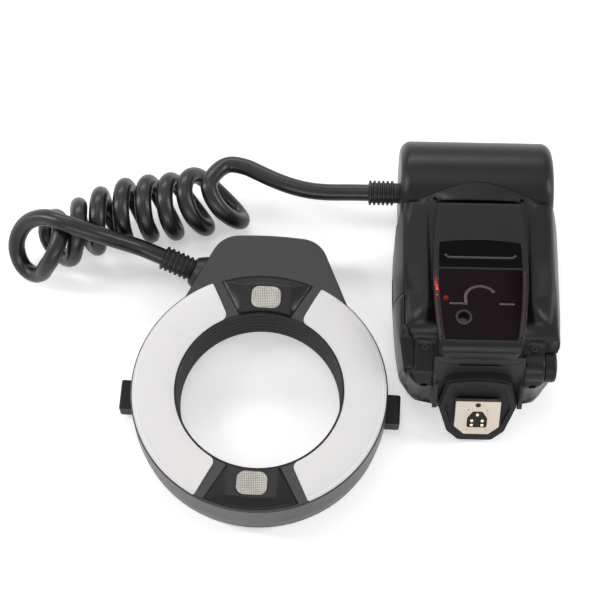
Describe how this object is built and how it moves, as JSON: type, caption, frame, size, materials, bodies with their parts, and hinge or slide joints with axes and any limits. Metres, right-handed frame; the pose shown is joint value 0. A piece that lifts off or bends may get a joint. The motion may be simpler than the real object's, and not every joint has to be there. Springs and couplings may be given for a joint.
{
  "type": "macro ring flash",
  "caption": "Ring flash head with arc diffusers, modelling lamps and side release buttons, joined by a coiled cord to a hot shoe control unit.",
  "frame": {"origin": "on the ring's bore axis, at the back face that the ring lies on", "axes": "+Z along the bore axis out of the front face, +Y away from the camera shoe foot along the control unit, +X towards the control unit"},
  "size_m": [0.2372, 0.1698, 0.0464],
  "materials": {
    "shell_plastic": "fine-textured satin",
    "grey_plastic": "satin",
    "gloss_black": "gloss",
    "milky_diffuser": "satin, milky",
    "red_filter": "gloss, translucent",
    "cord_rubber": "semi-gloss",
    "clear_lens": "clear, ribbed inside",
    "flash_glass": "clear",
    "reflector_metal": "bright",
    "screw_steel": "satin",
    "shoe_metal": "satin",
    "contact_metal": "bright",
    "board_green": "satin",
    "can_sleeve": "gloss",
    "cell_wrap": "gloss",
    "lamp_yellow": "satin",
    "lcd_glass": "clear"
  },
  "bodies": {
    "flash": {"ring_front_housing": "shell_plastic", "ring_rear_cover": "shell_plastic", "ring_screws": "screw_steel", "bore_baffle": "shell_plastic", "diffuser_left": "milky_diffuser", "reflector_left": "reflector_metal", "diffuser_right": "milky_diffuser", "reflector_right": "reflector_metal", "flash_tubes": "flash_glass", "lamp_hood_top": "shell_plastic", "lamp_hood_bottom": "shell_plastic", "lamp_lenses": "clear_lens", "lamp_emitters": "lamp_yellow", "ring_mid_frame": "grey_plastic", "ring_board": "board_green", "ring_cord_boot": "cord_rubber", "cord_ring_run": "cord_rubber", "cord_coil": "cord_rubber", "cord_unit_run": "cord_rubber", "body_front_shell": "shell_plastic", "body_back_shell": "shell_plastic", "head_front_shell": "shell_plastic", "head_back_shell": "shell_plastic", "main_capacitor": "can_sleeve", "unit_cord_boot": "cord_rubber", "spine_plate": "shell_plastic", "black_window": "gloss_black", "red_window": "red_filter", "assist_board": "board_green", "assist_lamps": "clear_lens", "ready_led": "red_filter", "sensor_eye": "grey_plastic", "foot_housing": "grey_plastic", "foot_block": "shell_plastic", "shoe_plate": "shoe_metal", "contact_insulator": "shell_plastic", "contact_pins": "contact_metal", "battery_cells": "cell_wrap", "terminal_cover": "cord_rubber", "lcd_window": "lcd_glass", "lcd_panel": "grey_plastic", "main_board": "board_green", "body_screws": "screw_steel"},
    "release_left": {"release_button_left": "shell_plastic", "latch_slider_left": "shell_plastic"},
    "release_right": {"release_button_right": "shell_plastic", "latch_slider_right": "shell_plastic"},
    "mode_key": {"mode_button": "grey_plastic"},
    "lamp_key": {"lamp_button": "grey_plastic"},
    "ratio_key": {"ratio_button": "grey_plastic"},
    "sync_key": {"sync_button": "grey_plastic"},
    "dial": {"select_dial": "grey_plastic"},
    "set_key": {"set_button": "grey_plastic"},
    "power_slider": {"power_switch": "grey_plastic"},
    "test_key": {"test_button": "clear_lens"},
    "door": {"battery_door": "shell_plastic"},
    "foot_lock_knob": {"lock_knob": "shell_plastic"},
    "foot_lock_pin": {"lock_pin": "screw_steel"}
  },
  "joints": [
    {"name": "release_left_push", "type": "slide", "parent": "flash", "child": "release_left", "axis": [0.9993, -0.0384, 0], "range_m": [0, 0.0022], "stiffness_N_per_m": 500, "springref_m": -0.0022},
    {"name": "release_right_push", "type": "slide", "parent": "flash", "child": "release_right", "axis": [-0.9993, 0.0384, 0], "range_m": [0, 0.0022], "stiffness_N_per_m": 500, "springref_m": -0.0022},
    {"name": "mode_press", "type": "slide", "parent": "flash", "child": "mode_key", "axis": [0, 0, 1], "range_m": [0, 0.0008], "stiffness_N_per_m": 400, "springref_m": -0.0008},
    {"name": "lamp_press", "type": "slide", "parent": "flash", "child": "lamp_key", "axis": [0, 0, 1], "range_m": [0, 0.0008], "stiffness_N_per_m": 400, "springref_m": -0.0008},
    {"name": "ratio_press", "type": "slide", "parent": "flash", "child": "ratio_key", "axis": [0, 0, 1], "range_m": [0, 0.0008], "stiffness_N_per_m": 400, "springref_m": -0.0008},
    {"name": "sync_press", "type": "slide", "parent": "flash", "child": "sync_key", "axis": [0, 0, 1], "range_m": [0, 0.0008], "stiffness_N_per_m": 400, "springref_m": -0.0008},
    {"name": "set_press", "type": "slide", "parent": "flash", "child": "set_key", "axis": [0, 0, 1], "range_m": [0, 0.0008], "stiffness_N_per_m": 400, "springref_m": -0.0008},
    {"name": "test_press", "type": "slide", "parent": "flash", "child": "test_key", "axis": [0, 0, 1], "range_m": [0, 0.0008], "stiffness_N_per_m": 400, "springref_m": -0.0008},
    {"name": "dial_turn", "type": "hinge", "parent": "flash", "child": "dial", "pos_m": [0.0902, 0.046, 0.001], "axis": [0, 0, 1], "continuous": true},
    {"name": "power_slide", "type": "slide", "parent": "flash", "child": "power_slider", "axis": [1, 0, 0], "range_m": [0, 0.004]},
    {"name": "door_slide", "type": "slide", "parent": "flash", "child": "door", "axis": [0, 0, 1], "range_m": [0, 0.024]},
    {"name": "lock_knob_turn", "type": "hinge", "parent": "flash", "child": "foot_lock_knob", "pos_m": [0.117, 0.0114, 0.027], "axis": [1, 0, 0], "range_deg": [0, 90]},
    {"name": "lock_pin_slide", "type": "slide", "parent": "flash", "child": "foot_lock_pin", "axis": [0, -0.8988, 0.4384], "range_m": [0, 0.0015]}
  ],
  "couplings": [
    {"joint": "lock_knob_turn", "follows": "lock_pin_slide", "rad_per_m": 1047.2}
  ]
}
